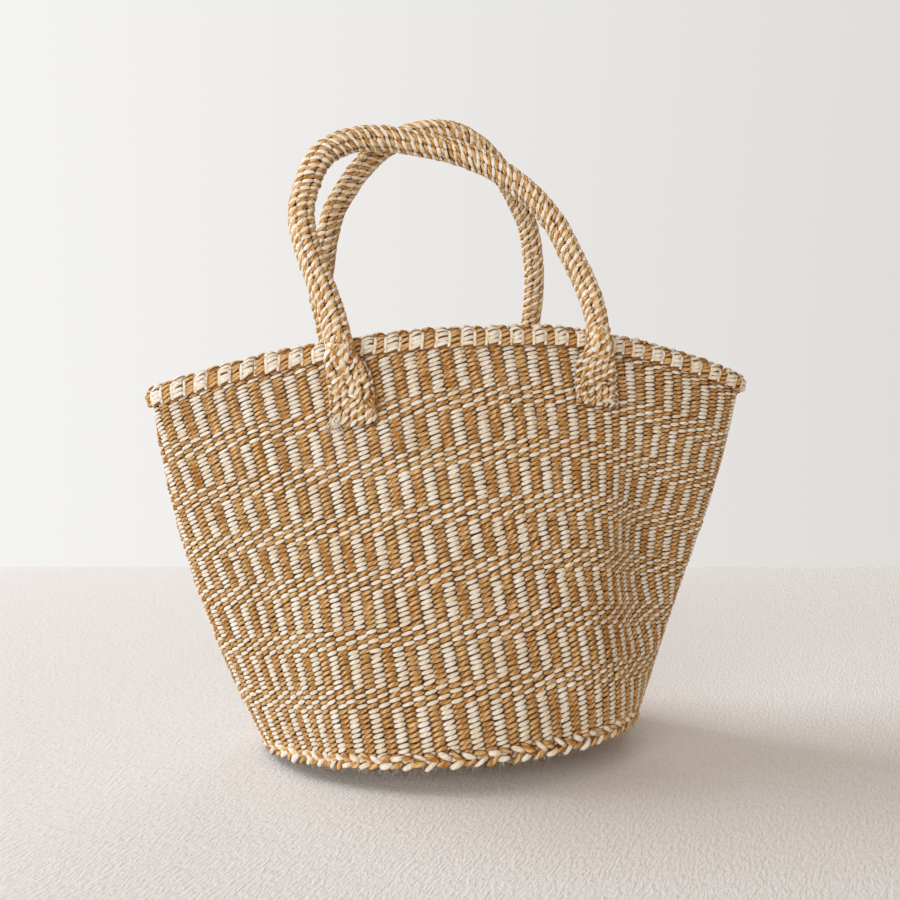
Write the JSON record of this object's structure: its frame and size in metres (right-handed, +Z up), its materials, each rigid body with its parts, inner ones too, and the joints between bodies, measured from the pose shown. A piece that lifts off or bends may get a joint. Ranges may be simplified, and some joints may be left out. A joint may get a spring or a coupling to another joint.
{
  "type": "tote bag",
  "caption": "Twined sisal tote bag with a round domed base, a flat arched mouth with a bound rim, and stiff rope handles sewn on by flat tabs",
  "frame": {"origin": "middle of the bounding box's underside, on the ground under the domed base", "axes": "+X to the right along the mouth, +Y to the back, +Z up"},
  "size_m": [0.402, 0.2138, 0.409],
  "materials": {
    "striped_twining": "two-strand twining of tan and undyed sisal, matt",
    "undyed_sisal": "undyed sisal strand, matt with a faint fibre sheen",
    "tan_sisal": "tan-dyed sisal strand, matt with a faint fibre sheen",
    "cord_fibre": "plain laid sisal cord, matt"
  },
  "bodies": {
    "bag": {"front_wall": "striped_twining", "back_wall": "striped_twining", "base_edge_plait": "striped_twining", "base_panel": "striped_twining", "rim_cord": "cord_fibre", "rim_binding": "undyed_sisal", "front_left_tab": "striped_twining", "front_right_tab": "striped_twining", "back_left_tab": "striped_twining", "back_right_tab": "striped_twining", "front_left_cream_knot": "undyed_sisal", "front_left_tan_knot": "tan_sisal", "front_right_cream_knot": "undyed_sisal"},
    "front_handle": {"front_handle_sleeve": "striped_twining", "front_handle_core": "cord_fibre"},
    "back_handle": {"back_handle_sleeve": "striped_twining", "back_handle_core": "cord_fibre"}
  },
  "joints": [
    {"name": "front_handle_swing", "type": "hinge", "parent": "bag", "child": "front_handle", "pos_m": [-0.00327, -0.05103, 0.25835], "axis": [0.9989, 0.0012, 0.0473], "range_deg": [-2, 160]},
    {"name": "back_handle_swing", "type": "hinge", "parent": "bag", "child": "back_handle", "pos_m": [-0.0096, 0.05175, 0.2595], "axis": [-0.9981, -0.0107, -0.0615], "range_deg": [-2, 160]}
  ]
}
